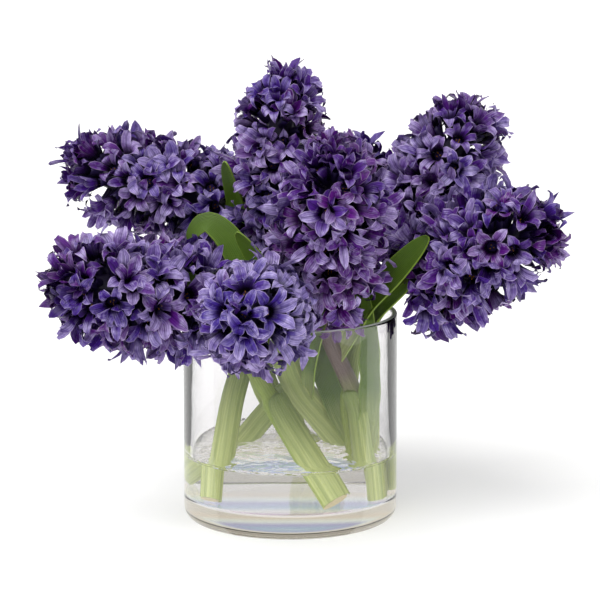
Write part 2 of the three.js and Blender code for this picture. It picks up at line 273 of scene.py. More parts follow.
# --- Finishes ---
class Surface:
    """A material in the making: its shader, its colour so far and the nodes that feed them."""

    def __init__(self, name: str, roughness: float, ior: float) -> None:
        """Makes an empty material with one shader.

        Args:
            name: The material's name.
            roughness: The shader's roughness.
            ior: Its index of refraction.
        """
        self.material = bpy.data.materials.new(name)
        self.material.use_nodes = True
        self.tree = self.material.node_tree
        self.tree.nodes.clear()
        self.shader = self.add("BsdfPrincipled", inputs={"Roughness": roughness, "IOR": ior})
        self.output = self.add("OutputMaterial", inputs={"Surface": self.shader.outputs["BSDF"]})
        self.colour: Shade = "#ffffff"

    def plug(self, name: str | int, value: Term | Shade, node: Node | None = None) -> None:
        """Sets an input of a node, or links it.

        Args:
            name: The input's name or number.
            value: What it is set to, or the socket that it is linked from.
            node: The node, or None for the shader.
        """
        socket = (self.shader if node is None else node).inputs[name]
        if isinstance(value, NodeSocket):
            self.tree.links.new(value, socket)
        else:
            socket.default_value = linear(value) if isinstance(value, str) else value

    def add(
        self,
        kind: str,
        settings: dict[str, str | bool] | None = None,
        inputs: dict[str | int, Term | Shade] | None = None,
    ) -> Node:
        """Adds one node.

        Args:
            kind: The node's type, as it goes on after the word ShaderNode.
            settings: Attributes of the node itself.
            inputs: What its inputs are set to or linked from.

        Returns:
            The new node.
        """
        made = self.tree.nodes.new(f"ShaderNode{kind}")
        for name, value in (settings or {}).items():
            setattr(made, name, value)
        for name, value in (inputs or {}).items():
            self.plug(name, value, made)
        return made

    def ramp(self, factor: NodeSocket, stops: Sequence[tuple[float, str]]) -> NodeSocket:
        """A colour ramp over a factor.

        Args:
            factor: What drives the ramp.
            stops: Positions with their sRGB hex colours.

        Returns:
            The colour.
        """
        node = self.add("ValToRGB", inputs={"Fac": factor})
        elements = node.color_ramp.elements
        while len(elements) < len(stops):
            elements.new(0.5)
        for element, (position, shade) in zip(elements, stops):
            element.position = position
            element.color = linear(shade)
        return node.outputs["Color"]

    def mixed(self, factor: Term, first: Shade, second: Shade) -> NodeSocket:
        """The first colour, or as far as the factor goes from 0 to 1, the second."""
        return self.add("Mix", {"data_type": "RGBA"}, {0: factor, 6: first, 7: second}).outputs[2]

    def tint(self, factor: Term, shade: Shade, share: Term | None = None) -> None:
        """Lets another colour over the colour so far, by a factor or by a share of it."""
        factor = factor if share is None else self.times(factor, share)
        self.colour = self.mixed(factor, self.colour, shade)

    def sums(self, operation: str, *terms: Term, clamp: bool = False) -> NodeSocket:
        """One step of arithmetic with some terms, held to 0 to 1 on request."""
        settings = {"operation": operation, "use_clamp": clamp}
        return self.add("Math", settings, dict(enumerate(terms))).outputs[0]

    def times(self, first: Term, second: Term) -> NodeSocket:
        """The product of two terms."""
        return self.sums("MULTIPLY", first, second)

    def line(self, value: Term, slope: float, start: Term) -> NodeSocket:
        """A straight line over a value."""
        return self.sums("MULTIPLY_ADD", value, slope, start)

    def held(self, value: Term, slope: float, start: float) -> NodeSocket:
        """A straight line over a value, held to 0 to 1."""
        return self.sums("MULTIPLY_ADD", value, slope, start, clamp=True)

    def ribbing(self, across: Term, number: float) -> NodeSocket:
        """Waves that lie side by side, from -1 in the furrows to 1 on the ribs."""
        return self.sums("SINE", self.times(across, number * math.tau))

    def from_middle(self, across: Term) -> NodeSocket:
        """How far a place lies from the middle, 0 there and 1 at either margin."""
        return self.sums("ABSOLUTE", self.line(across, 2.0, -1.0))

    def place_parts(self) -> tuple[NodeSocket, ...]:
        """The four parts of the place attribute: across, along, tone of the floret, tone of the petal with
        painted shade deep in the head.
        """
        read = self.add("Attribute", {"attribute_name": PLACE})
        split = self.add("SeparateColor", inputs={"Color": read.outputs["Color"]})
        return (*[split.outputs[i] for i in range(3)], read.outputs["Alpha"])

    def spot(self) -> NodeSocket:
        """The place in the object's own space, in metres."""
        return self.add("TexCoord").outputs["Object"]

    def speckle(self, millimetres: float, detail: float = 3) -> NodeSocket:
        """Noise in blotches of a size, with some finer octaves, 0 to 1."""
        inputs = {"Vector": self.spot(), "Scale": 1 / (millimetres * MM), "Detail": detail}
        return self.add("TexNoise", inputs=inputs).outputs["Fac"]

    def streaks(self, across: Term, along: Term, number: float) -> NodeSocket:
        """Uneven streaks that run lengthwise.

        Args:
            across: The way across, 0 to 1.
            along: The way along, 0 to 1.
            number: How many streaks lie side by side.

        Returns:
            The streaks, 0 to 1.
        """
        wide, far = self.times(across, number), self.times(along, 5.0)
        spot = self.add("CombineXYZ", inputs={"X": wide, "Y": far}).outputs[0]
        noise = self.add("TexNoise", inputs={"Vector": spot, "Scale": 1.0, "Detail": 3.0})
        return self.held(noise.outputs[0], 3.0, -1.0)

    def bump(self, height: NodeSocket, millimetres: float) -> None:
        """Gives the shader a bump by a height from 0 to 1, the whole of which stands so high."""
        made = self.add("Bump", inputs={"Height": height, "Distance": millimetres * MM})
        self.plug("Normal", made.outputs["Normal"])

    def let_lamps_through(self) -> None:
        """Lets the lamps shine through a clear shader, so that what stands behind it is lit."""
        path = self.add("LightPath")
        clear = self.add("BsdfTransparent")
        through = self.sums("MAXIMUM", path.outputs["Is Shadow Ray"], path.outputs["Is Diffuse Ray"])
        both = self.add("MixShader", inputs={0: through, 1: self.shader.outputs[0], 2: clear.outputs[0]})
        self.plug("Surface", both.outputs[0], self.output)


@dataclass(frozen=True)
class Finish(ABC):
    """What every finish shares: a name and a shader with its roughness and IOR."""

    name: str
    roughness: float
    ior: float

    def build(self) -> Material:
        """Makes the material."""
        surface = Surface(self.name, self.roughness, self.ior)
        self.paint(surface)
        surface.plug("Base Color", surface.colour)
        return surface.material

    @abstractmethod
    def paint(self, on: Surface) -> None:
        """Adds what this finish alone has."""


@dataclass(frozen=True)
class ClearGlass(Finish):
    """Soda-lime glass, blown and fire-polished: clear, with a faint waviness."""

    name: str = "soda_lime_glass"
    roughness: float = 0.0
    ior: float = 1.52
    body: str = "#f9f8f9"
    ripple: float = 26  # mm, from one swell of the wall to the next

    def paint(self, on: Surface) -> None:
        """Adds its own nodes."""
        on.colour = self.body
        on.plug("Transmission Weight", 1)
        on.bump(on.speckle(self.ripple, 1), 0.12)
        on.let_lamps_through()


@dataclass(frozen=True)
class Plain(Finish):
    """One even colour, with a fine grain or without."""

    shade: str
    grain: float = 0  # mm, the size of one grain
    depth: float = 0  # mm, how deep the grain is

    def paint(self, on: Surface) -> None:
        """Adds its own nodes."""
        on.colour = self.shade
        if self.grain:
            on.bump(on.speckle(self.grain), self.depth)


GROUND_RIM = Plain("ground_glass_rim", 0.55, 1.5, "#dfe2e0", 1.2, 0.03)  # scatters light into a pale line
DARK_FELT = Plain("dark_felt", 1.0, 1.3, "#161616")  # keeps the pale room out of the glass


@dataclass(frozen=True)
class StillWater(Finish):
    """Tap water at rest, with the slow ripples that a moved vase leaves."""

    name: str = "still_water"
    roughness: float = 0.0
    ior: float = 1.333
    body: str = "#fdfdfd"
    ripple: float = 11
    level: float = 40  # mm, where its top lies

    def paint(self, on: Surface) -> None:
        """Adds its own nodes."""
        on.colour = self.body
        on.plug("Transmission Weight", 1)
        split = on.add("SeparateXYZ", inputs={"Vector": on.spot()})
        top = on.held(split.outputs["Z"], 2 / MM, 1 - 2 * self.level)
        on.bump(on.times(top, on.speckle(self.ripple, 2)), 8.0)
        on.let_lamps_through()


@dataclass(frozen=True)
class LeafSkin(Finish):
    """A hyacinth leaf: smooth waxy green with close parallel veins and a paler base and margin."""

    name: str = "hyacinth_leaf"
    roughness: float = 0.42
    ior: float = 1.45
    base: str = "#dde597"
    blade: str = "#4f7019"
    tip: str = "#466118"
    margin: str = "#849f3a"
    vein: str = "#2c4410"
    veins: float = 15  # across the blade, about 1 mm apart

    def paint(self, on: Surface) -> None:
        """Adds its own nodes."""
        across, along, _, _ = on.place_parts()
        on.colour = on.ramp(along, [(0, self.base), (0.35, self.blade), (1, self.tip)])
        wave = on.ribbing(across, self.veins)
        veins = on.sums("POWER", on.line(wave, 0.5, 0.5), 3.0)
        plain = on.held(along, 1.2, 0.08)
        on.tint(veins, self.vein, on.sums("MINIMUM", plain, 0.35))
        on.tint(on.streaks(across, along, 9), self.blade, 0.6)
        on.tint(on.speckle(9), self.margin, 0.2)
        edge = on.from_middle(across)
        rim = on.sums("SMOOTH_MAX", on.line(edge, 9.0, -8.2), 0.0, 0.05, clamp=True)
        on.tint(rim, self.margin)
        on.bump(on.times(wave, on.sums("MINIMUM", plain, 0.5)), 0.2)


@dataclass(frozen=True)
class ScapeSkin(Finish):
    """A hyacinth's leafless flower stem: pale, juicy, finely ribbed."""

    name: str = "hyacinth_scape"
    roughness: float = 0.38
    ior: float = 1.42
    foot: str = "#c4cd74"
    middle: str = "#87a03f"
    neck: str = "#647a32"
    rib: str = "#66852c"
    flush: str = "#6a3f60"
    ribs: float = 22

    def paint(self, on: Surface) -> None:
        """Adds its own nodes."""
        across, along, mauve, _ = on.place_parts()
        on.colour = on.ramp(along, [(0, self.foot), (0.4, self.middle), (1, self.neck)])
        wave = on.ribbing(across, self.ribs)
        half = on.line(wave, 0.5, 0.5)
        on.tint(on.times(half, on.streaks(across, along, 12)), self.rib, 0.75)
        on.tint(on.speckle(5), self.foot, 0.35)
        on.tint(on.held(along, 5.0, -2.2), self.flush, mauve)
        on.bump(half, 0.15)


@dataclass(frozen=True)
class CutPith(Finish):
    """The knife's cut through a stem: wet cream pith dotted with darker bundles."""

    name: str = "cut_pith"
    roughness: float = 0.5
    ior: float = 1.4
    pith: str = "#e3d6a9"
    bundle: str = "#b79d63"

    def paint(self, on: Surface) -> None:
        """Adds its own nodes."""
        cells = on.add("TexVoronoi", inputs={"Vector": on.spot(), "Scale": 1 / (1.6 * MM)})
        on.colour = on.ramp(cells.outputs["Distance"], [(0.12, self.bundle), (0.35, self.pith)])
        on.bump(on.speckle(0.8), 0.1)


@dataclass(frozen=True)
class PetalSkin(Finish):
    """A violet hyacinth petal: fleshy and satiny, darker along the midrib, with fine lengthwise veins and a
    pale lilac margin that is partly painted highlight. Painted shade darkens its throat and the petals deep
    in the head, and a painted sheen lies on it in lavender blotches. Some florets lean to blue and some to
    red purple."""

    name: str = "hyacinth_petal"
    roughness: float = 0.24
    ior: float = 1.42
    # painted shade in the throat
    throat: str = "#0b0418"
    # painted shade deep in the head, given by the tone of the petal
    shade: str = "#1c0636"
    blue: str = "#432994"
    purple: str = "#5f187e"
    lavender: str = "#cebef4"
    stripe: str = "#220848"
    # partly the petal's own pale margin, partly painted highlight on its rims
    margin: str = "#eedcf6"
    veins: float = 6  # across one petal, drawn about 1 mm apart so that they show

    def paint(self, on: Surface) -> None:
        """Adds its own nodes."""
        across, along, floret, petal = on.place_parts()
        on.colour = on.mixed(floret, self.blue, self.purple)
        blotch = on.held(on.speckle(4), 1.6, -0.5)
        # painted shade: the darker the tone of the petal, which darkens towards the head's axis, the more
        # of this colour
        on.tint(on.held(petal, -3.3, 1.0), self.shade)
        # lavender where the tone of the petal is high: partly its own paler tone, partly painted light on
        # the outside of the head
        pale = on.held(petal, 1.6, -0.78)
        on.tint(on.times(pale, on.line(blotch, 0.75, 0.3)), self.lavender)
        edge = on.from_middle(across)
        wave = on.ribbing(across, self.veins)
        half = on.line(wave, 0.5, 0.5)
        on.tint(half, self.stripe, 0.3)
        streak = on.sums("POWER", on.sums("SUBTRACT", 1.0, half), 3.0)
        # painted sheen: lavender blotches that stand in for glossy highlights
        painted_sheen_spots = on.held(on.speckle(6), 4.2, -1.95)
        shine = on.times(painted_sheen_spots, on.line(streak, 0.45, 0.5))
        on.tint(shine, self.lavender, on.held(petal, 2.0, -0.2))
        on.tint(on.held(edge, -3.5, 1.0), self.stripe, 0.5)
        # Pale margin, partly the petal's own colour and partly painted highlight: brighter towards the tip,
        # and only where the tone of the petal is out of the painted shade.
        rim = on.held(edge, 5.0, -4.0)
        tip = on.held(along, 2.0, -1.0)
        light = on.times(rim, on.line(tip, 0.7, 0.2))
        light = on.times(light, on.line(blotch, 0.7, 0.35))
        on.tint(light, self.margin, on.held(petal, 2.5, 0.0))
        # painted shade over the inner third of each petal, in the throat
        on.tint(on.held(along, -7.0, 4.2), self.throat)
        on.plug("Specular IOR Level", 0.62)
        on.bump(half, 0.16)


@dataclass(frozen=True)
class TubeSkin(Finish):
    """The outside of a floret's tube: bluish and waxy, darkened by painted shade, darkest where it joins
    the scape.
    """

    name: str = "hyacinth_tube"
    roughness: float = 0.45
    ior: float = 1.42
    # painted shade: the tube is darkened all over, most at the root deep in the head
    root: str = "#140a24"
    flesh: str = "#20123e"
    mouth: str = "#45307c"

    def paint(self, on: Surface) -> None:
        """Adds its own nodes."""
        _, along, _, _ = on.place_parts()
        on.colour = on.ramp(along, [(0, self.root), (0.25, self.flesh), (0.6, self.mouth)])
        # blotches of the root's painted shade
        on.tint(on.speckle(3), self.root, 0.4)
        on.bump(on.speckle(1.5), 0.1)


@dataclass(frozen=True)
class Pollen(Finish):
    """Ripe anthers, powdered with orange-yellow pollen."""

    name: str = "ripe_anther"
    roughness: float = 0.9
    ior: float = 1.45
    grain: str = "#c98a1e"
    dust: str = "#6b4a1a"

    def paint(self, on: Surface) -> None:
        """Adds its own nodes."""
        grains = on.speckle(0.5)
        on.colour = on.ramp(grains, [(0.3, self.dust), (0.6, self.grain)])
        on.bump(grains, 0.1)


@dataclass(frozen=True)
class StudioPaper(Finish):
    """White background paper with a painted glow, and painted bands of split light under the vase that glow
    a little more.
    """

    name: str = "studio_paper"
    roughness: float = 0.9
    ior: float = 1.45
    shade: str = "#f7f7f6"
    glow: float = 0.2  # painted glow: the paper shines a little by itself, as if lit from behind, which pales the shadows on it
    # the colours of the painted caustic, from one edge of its patch to the other
    painted_caustic_colours: tuple[str, ...] = (
        "#e4e0da", "#d9bcd8", "#ffffff", "#a9c9ee", "#b3b4ea", "#f4ffff", "#ece0d2", "#e4e0da"
    )
    spread: float = 56  # mm, how wide the painted patch of split light is
    fading: float = 6  # mm, over which that patch fades at its edge

    def paint(self, on: Surface) -> None:
        """Adds its own nodes."""
        spot = on.spot()
        split = on.add("SeparateXYZ", inputs={"Vector": spot})
        sideways = on.sums("POWER", split.outputs["X"], 2.0)
        # painted caustic: coloured bands curved round the vase's foot
        bent = on.line(sideways, 4.0, split.outputs["Y"])
        band = on.line(bent, 1 / (2 * self.spread * MM), 0.5)
        stops = [(0.12 + 0.1 * i, shade) for i, shade in enumerate(self.painted_caustic_colours)]
        out = on.add("VectorMath", {"operation": "LENGTH"}, {0: spot})
        painted_caustic_patch = on.held(out.outputs["Value"], -1 / (self.fading * MM), self.spread / self.fading)
        painted_caustic_patch = on.times(painted_caustic_patch, 0.75)
        on.colour = on.mixed(painted_caustic_patch, self.shade, on.ramp(band, stops))
        on.plug("Specular IOR Level", 0.1)
        # the paper glows, and the painted caustic patch more: painted light from no lamp
        on.plug("Emission Color", on.colour)
        on.plug("Emission Strength", on.line(painted_caustic_patch, 0.2, self.glow))


# --- Routes ---
class Route:
    """A path through closely sampled points, read by the share of its length."""

    def __init__(self, points: Sequence[Vector]) -> None:
        """Measures the path.

        Args:
            points: Its points in order, in millimetres.
        """
        self.points = list(points)
        self.marks = [0.0]
        for first, second in zip(self.points, self.points[1:]):
            self.marks.append(self.marks[-1] + (second - first).length)

    @property
    def length(self) -> float:
        """The whole length in millimetres."""
        return self.marks[-1]

    def at(self, u: float) -> Vector:
        """The point at a share of the length."""
        goal = u * self.length
        for i in range(1, len(self.marks)):
            if goal <= self.marks[i] or i == len(self.marks) - 1:
                step = self.marks[i] - self.marks[i - 1]
                return self.points[i - 1].lerp(self.points[i], (goal - self.marks[i - 1]) / step)
        return self.points[-1]

    def along(self, u: float) -> Vector:
        """The direction at a share of the length."""
        return (self.at(min(1, u + 0.01)) - self.at(max(0, u - 0.01))).normalized()

    def at_height(self, z: float) -> Vector:
        """The first point that reaches a height."""
        for first, second in zip(self.points, self.points[1:]):
            if second.z >= z:
                return first.lerp(second, max(0, (z - first.z) / max(1e-6, second.z - first.z)))
        return self.points[-1]


def bezier(corners: Sequence[Vector], steps: int) -> list[Vector]:
    """Samples a cubic curve.

    Args:
        corners: Its four control points.
        steps: How many steps it is cut into.

    Returns:
        The points, both ends among them.
    """
    a, b, c, d = corners
    made = []
    for i in range(steps + 1):
        t = i / steps
        s = 1 - t
        made.append(a * s**3 + b * (3 * s * s * t) + c * (3 * s * t * t) + d * t**3)
    return made


def centripetal(stops: Sequence[Vector], steps: int) -> list[Vector]:
    """Samples the smooth curve that passes through some points.

    Args:
        stops: The points that it passes through.
        steps: How many steps lie between two of them.

    Returns:
        The sampled points.
    """
    before = stops[0] * 2 - stops[1]
    after = stops[-1] * 2 - stops[-2]
    knots = [before, *stops, after]
    made = [stops[0]]
    for p0, p1, p2, p3 in zip(knots, knots[1:], knots[2:], knots[3:]):
        d0, d1, d2 = [(b - a).length ** 0.5 for a, b in ((p0, p1), (p1, p2), (p2, p3))]
        t1 = ((p1 - p0) / d0 - (p2 - p0) / (d0 + d1) + (p2 - p1) / d1) * d1
        t2 = ((p2 - p1) / d1 - (p3 - p1) / (d1 + d2) + (p3 - p2) / d2) * d1
        for i in range(1, steps + 1):
            t = i / steps
            made.append(
                p1
                + t1 * t
                + (p1 * -3 + p2 * 3 - t1 * 2 - t2) * t**2
                + (p1 * 2 - p2 * 2 + t1 + t2) * t**3
            )
    return made


# --- Vase and water ---
def arc(
    centre: Pair, radius: float, start: float, end: float, steps: int
) -> list[Pair]:
    """Points on an arc of a profile.

    Args:
        centre: Radius and height of its centre.
        radius: Its radius.
        start: Where it starts, in degrees from outwards.
        end: Where it ends.
        steps: How many steps it is cut into.

    Returns:
        Radius and height of each point.
    """
    turns = [math.radians(start + (end - start) * i / steps) for i in range(steps + 1)]
    return [(centre[0] + radius * math.cos(t), centre[1] + radius * math.sin(t)) for t in turns]


@dataclass
class Vase:
    """The glass cylinder: a straight wall on a thick floor, with a rounded rim and heel."""

    radius: float = 63.5
    height: float = 124.5
    wall: float = 3.5
    floor: float = 15
    corner: float = 2
    heel: float = 8
    rim: float = 1.6
    rim_line: float = 0.5  # how much of the rim's top is ground
    sides: int = 128

    def build(self, skins: Sequence[Material]) -> Object:
        """Models the vase.

        Args:
            skins: The finishes of its body, of the top of its rim and of the side of its thick floor, the
                last tinted darker as painted shade.

        Returns:
            The closed glass body.
        """
        inner = self.radius - self.wall
        rim, heel, corner = self.rim, self.heel, self.corner
        profile = [
            *arc((self.radius - heel, heel), heel, -90, 0, 10),
            (self.radius, self.floor),
            *arc((self.radius - rim, self.height - rim), rim, 0, 90, 6),
            *arc((inner + rim, self.height - rim), rim, 90, 180, 6),
            *arc((inner - corner, self.floor + corner), corner, 0, -90, 6),
        ]
        made = named(rings_up(profile, self.sides), "glass_cylinder")
        coated(made, *skins)
        for face in made.data.polygons:
            high = face.center.z / MM
            outside = face.center.xy.length / MM > self.radius - heel
            if high > self.height - self.rim_line:
                face.material_index = 1
            # the side of the thick floor takes the darker glass: painted shade for the shadowed floor seen
            # through it
            elif outside and high < self.floor:
                face.material_index = 2
        return smooth(made)


@dataclass
class Water:
    """The water in the vase, which climbs the glass a little where they touch."""

    radius: float = 60.06  # just into the glass, so that no air shows between them
    low: float = 14.94
    level: float = 40
    corner: float = 2
    climb: float = 1.1
    sides: int = 128

    def build(self) -> Object:
        """Models the water.

        Returns:
            The closed body of water.
        """
        top = self.level + self.climb
        profile = [
            *arc((self.radius - self.corner, self.low + self.corner), self.corner, -90, 0, 6),
            (self.radius, top),
            (self.radius - 0.9, self.level + 0.4 * self.climb),
            (self.radius - 2.2, self.level + 0.1 * self.climb),
            (self.radius - 4, self.level),
            (self.radius * 0.5, self.level),
        ]
        made = named(rings_up(profile, self.sides), "water_in_vase")
        return smooth(made)


# --- Stems and leaves ---
@dataclass(frozen=True)
class LeafSizes:
    """Where one leaf leaves its scape, the points that it passes and its width, in millimetres."""

    start: float
    via: tuple[Triple, ...]
    tip: Triple
    width: float
    face: Triple
    wave: float = 0


@dataclass(frozen=True)
class HyacinthSizes:
    """Where one hyacinth stands and bends, the ends and fullness of its head, and its leaves."""

    name: str
    foot: Pair
    knee: Triple
    base: Triple
    tip: Triple
    full: float
    sheath_to: float = 0
    sheath_width: float = 1
    leaves: tuple[LeafSizes, ...] = ()
    wrap: Triple = (0, 0, 0)  # share of the scape, middle and half width in degrees
    purple: float = 0.55  # 0 leans to blue, 1 to red purple
    pale: float = 0.1  # how much lighter its petals are
    breadth: float = 0.86  # how wide its petals are
    reach: float = 0.84  # how far they spread
    first: float = 5  # where its lowest florets grow, from the base of the head
    last: float = 9  # how far its highest florets grow below its tip
    spacing: float = 0.86  # from one floret to the next, along the head
    growth: Pair = (0.78, 0.97)  # how large its florets have grown
    wide_open: bool = False  # whether all its florets have opened flat
    mauve: float = 0  # how much the upper half of its scape has flushed mauve


HYACINTHS = (
    HyacinthSizes(
        "front", (47, 20.5), (9.6, 0.6, 68), (-12, -46, 130), (-27, -116, 146), 1.05,
        sheath_to=0.72, sheath_width=1.25, wrap=(0.85, -80, 80), purple=0.3, pale=0.36,
        breadth=0.93, reach=1.0, spacing=1.35, growth=(0.85, 1.0), wide_open=True,
        leaves=(
            LeafSizes(66, ((12, -28, 98), (17, -38, 122)), (21, -45, 138), 9, (-0.6, -1, 0)),
            LeafSizes(108, ((-8, -41, 139), (-18, -41, 160)), (-31, -42, 179), 12, (-0.5, -1, 0.3)),
        ),
    ),
    HyacinthSizes(
        "centre", (46.6, -18), (41.6, -17.2, 61), (19, -24, 129), (26, -64, 217), 1.15,
        wrap=(0.55, -120, 70), purple=0.8, mauve=0.75,
        leaves=(
            LeafSizes(36, ((46, -23, 72), (45.5, -28, 104)), (44, -33, 141), 11, (0, -1, 0), 1.2),
            LeafSizes(98, ((42, -27, 132), (60, -31, 152)), (80, -34, 175), 17, (-0.5, -1, 0.6)),
        ),
    ),
    HyacinthSizes(
        "left_low", (24.6, -44.5), (-20.4, -12.5, 87), (-40, -20, 131), (-128, -51, 150), 1.18,
        sheath_to=0.5, sheath_width=1.3, wrap=(0.5, -55, 75), first=-4, last=15,
        leaves=(
            LeafSizes(
                88, ((-22, -30, 138), (-35, -24, 171), (-49, -21, 181)), (-60, -21, 171),
                17, (-0.2, -1, 0.6),
            ),
            LeafSizes(104, ((-36, -34, 128), (-48, -39, 142)), (-62, -43, 155), 14, (0.3, -1, 0.6)),
        ),
    ),
    HyacinthSizes(
        "right_low", (42.3, -5), (36, -5, 60), (71, -6, 143), (140, -22, 178), 1.2, last=13,
        leaves=(
            LeafSizes(108, ((49, -18, 122), (57, -30, 135)), (70, -32, 147), 9, (-0.3, -1, 0.8)),
            LeafSizes(42, ((28, -4, 66), (19, -6, 90)), (15, -8, 112), 14, (-0.2, -1, 0.1)),
        ),
    ),
    HyacinthSizes(
        "right_high", (-44, 23.4), (-9.6, 13.4, 61.5), (68, 12, 160), (104, 25, 230), 1.08,
        wrap=(0.4, -90, 90), pale=0.24,
    ),
    HyacinthSizes(
        "top", (-43.3, -27.6), (-36.5, -12.3, 60), (-13, 15, 147), (-4, 10, 251), 1.05,
        wrap=(0.6, -60, 95), pale=0.22,
        leaves=(LeafSizes(128, ((-28, 15, 152), (-31, 14, 184)), (-38, -7, 215), 13, (-0.6, -1, 0.2)),),
    ),
    HyacinthSizes(
        "left_high", (15.2, 29.5), (-12.4, 25.5, 62.6), (-38, 40, 184), (-121, 54, 200), 1.05,
        sheath_to=0.52, sheath_width=1.5, first=-12,
        leaves=(LeafSizes(84, ((-20, 35, 112), (-34, 37, 142)), (-54, 42, 166), 14, (-0.3, 1, 0.3)),),
    ),
    HyacinthSizes("back_right", (48.8, 6.2), (50.4, 8, 60.7), (33, 52, 154), (44, 98, 196), 1.05),
    HyacinthSizes(
        "back", (6.8, 50.9), (0.2, 34, 62), (-12, 52, 137), (-28, 134, 148), 1.05,
        leaves=(LeafSizes(68, ((9, 42, 98), (11, 52, 124)), (8, 78, 156), 14, (0.3, 1, 0.2)),),
    ),
)


@dataclass
class LeafyStem:
    """One scape with the leaves that came up beside it."""

    sizes: HyacinthSizes
    foot_radius: float = 6
    neck_radius: float = 4.6
    floor: float = 15
    gap: float = 0.35  # between solids that seem to touch
    sides: int = 20
    stations: int = 34  # rings along the scape
    blade: float = 0.9  # thickness of a leaf
    channel: float = 0.28  # how far its margins stand up, against its width
    waves: float = 26  # how fast a wavy margin rises and falls
    scallops: float = 34  # how fast its width does
    scallop: float = 0.09  # and by how much
    clearance: float = 0.9  # from the scape to a leaf base that clasps it

    @cached_property
    def route(self) -> Route:
        """The middle of the scape: straight to its knee, then bending into its head.

        Returns:
            The route in millimetres.
        """
        s = self.sizes
        knee, base, tip = Vector(s.knee), Vector(s.base), Vector(s.tip)
        foot = Vector((*s.foot, self.floor))
        lean = math.atan((knee.xy - foot.xy).length / (knee.z - self.floor))
        foot.z += 1.5 * self.gap + self.foot_radius * s.sheath_width * math.sin(lean)
        rise = (knee - foot).normalized()
        head = (tip - base).normalized()
        reach = (base - knee).length / 3
        return Route([foot, *bezier([knee, knee + rise * reach, base - head * reach, base], 40)])

    def ring(self, u: float) -> tuple[Vector, Vector, Vector]:
        """The middle of the scape at a share of its length, its wide way and its narrow way."""
        along = self.route.along(u)
        across = square_to(along, SIDEWAYS)
        return self.route.at(u), across, along.cross(across)

    def swell(self, u: float) -> float:
        """How much wider the sheathed part of the scape is, at a share of its length."""
        return self.sizes.sheath_width if u < self.sizes.sheath_to else 1

    def scape(self) -> Object:
        """Models the scape as a straight column, ring by ring, and bends it along its route.

        Returns:
            The closed scape.
        """
        last = self.stations - 1
        slim = self.neck_radius / self.foot_radius - 1
        made = rings_up([(1 + slim * i / last, float(i)) for i in range(last + 1)], self.sides)
        mauve = self.sizes.mauve
        placed(made, lambda v: (math.atan2(v.co.y, v.co.x) / math.tau % 1, v.co.z / MM / last, mauve, 0.5))
        for vertex in made.data.vertices:
            u = min(1, max(0, vertex.co.z / MM / last))
            middle, across, up = self.ring(u)
            wide = self.foot_radius * self.swell(u)
            place = middle + across * (vertex.co.x / MM * wide) + up * (vertex.co.y / MM * self.foot_radius)
            vertex.co = place * MM
        return made

    def leaf(self, leaf: LeafSizes) -> Object:
        """Models one channelled blade from a flat grid and lays it along its own route.

        Args:
            leaf: Its sizes.

        Returns:
            The closed blade.
        """
        stops = [self.route.at_height(leaf.start), *map(Vector, leaf.via), Vector(leaf.tip)]
        way = Route(centripetal(stops, 16))
        made = grid(8, 30)
        placed(made, lambda v: ((v.co.x + 1) / 2, (v.co.y + 1) / 2, 0.5, 0.5))
        half = leaf.width / 2
        for vertex in made.data.vertices:
            side, u = vertex.co.x, (vertex.co.y + 1) / 2
            u = 1 - (1 - u) ** 1.4
            along = way.along(u)
            front = square_to(along, Vector(leaf.face))
            across = front.cross(along).normalized()
            reach = half * (min(1, 0.6 + 1.6 * u) * math.sqrt(max(0, 1 - u**5)) + 0.03)
            reach *= 1 + self.scallop * leaf.wave * math.sin(u * self.scallops) * max(0, side)
            lift = self.channel * reach * abs(side) ** 1.6
            lift += leaf.wave * side * math.sin(u * self.waves) * abs(side)
            vertex.co = (way.at(u) + across * (side * reach) + front * lift) * MM
        return thickened(made, self.blade)

    def wrap(self) -> Object:
        """Models the base of a leaf that clasps the scape's foot and ends free in a rounded tip.

        Returns:
            The closed leaf base.
        """
        end, facing, spread = self.sizes.wrap
        made = grid(12, 24)
        placed(made, lambda v: ((v.co.x + 1) / 2, 0.28 * ((v.co.y + 1) / 2) ** 1.5, 0.5, 0.5))
        for vertex in made.data.vertices:
            side, far = vertex.co.x, (vertex.co.y + 1) / 2
            u = end * (1 - (1 - far) ** 1.3)
            turn = math.radians(facing + side * spread * (math.sqrt(max(0, 1 - far**7)) + 0.02))
            middle, across, up = self.ring(u)
            radius = self.foot_radius + (self.neck_radius - self.foot_radius) * u
            radius += self.clearance + 0.5 * abs(side) ** 3
            wide = radius * self.swell(u)
            place = middle + across * (math.cos(turn) * wide) + up * (math.sin(turn) * radius)
            vertex.co = place * MM
        return thickened(made, self.blade)

    def build(self, skin: Material, scape_skin: Material, pith: Material) -> Object:
        """Models the scape and its leaves as one piece.

        Args:
            skin: The leaves' finish.
            scape_skin: The scape's finish.
            pith: The cut end's finish.

        Returns:
            The piece with its three finishes.
        """
        stalk = coated(self.scape(), scape_skin, pith)
        start, along = self.route.at(0) * MM, self.route.along(0)
        for face in stalk.data.polygons:
            if len(face.vertices) > 4 and (face.center - start).dot(along) < 1 * MM:
                face.material_index = 1
        blades = [self.leaf(leaf) for leaf in self.sizes.leaves]
        if self.sizes.wrap[0]:
            blades.append(self.wrap())
        parts = [stalk, *[coated(blade, skin) for blade in blades]]
        return smooth(joined(parts, f"stem_and_leaves_{self.sizes.name}"))


# --- Flower heads ---
@dataclass(frozen=True)
class PetalShape:
    """One petal from the throat to its tip: where each row lies and how wide it is, in millimetres."""

    radii: tuple[float, ...]
    heights: tuple[float, ...]
    widths: tuple[float, ...] = (3.4, 5.8, 8.2, 8.3, 5.0, 0.3)
    cup: float = 1.0  # how far the margins stand above the midrib


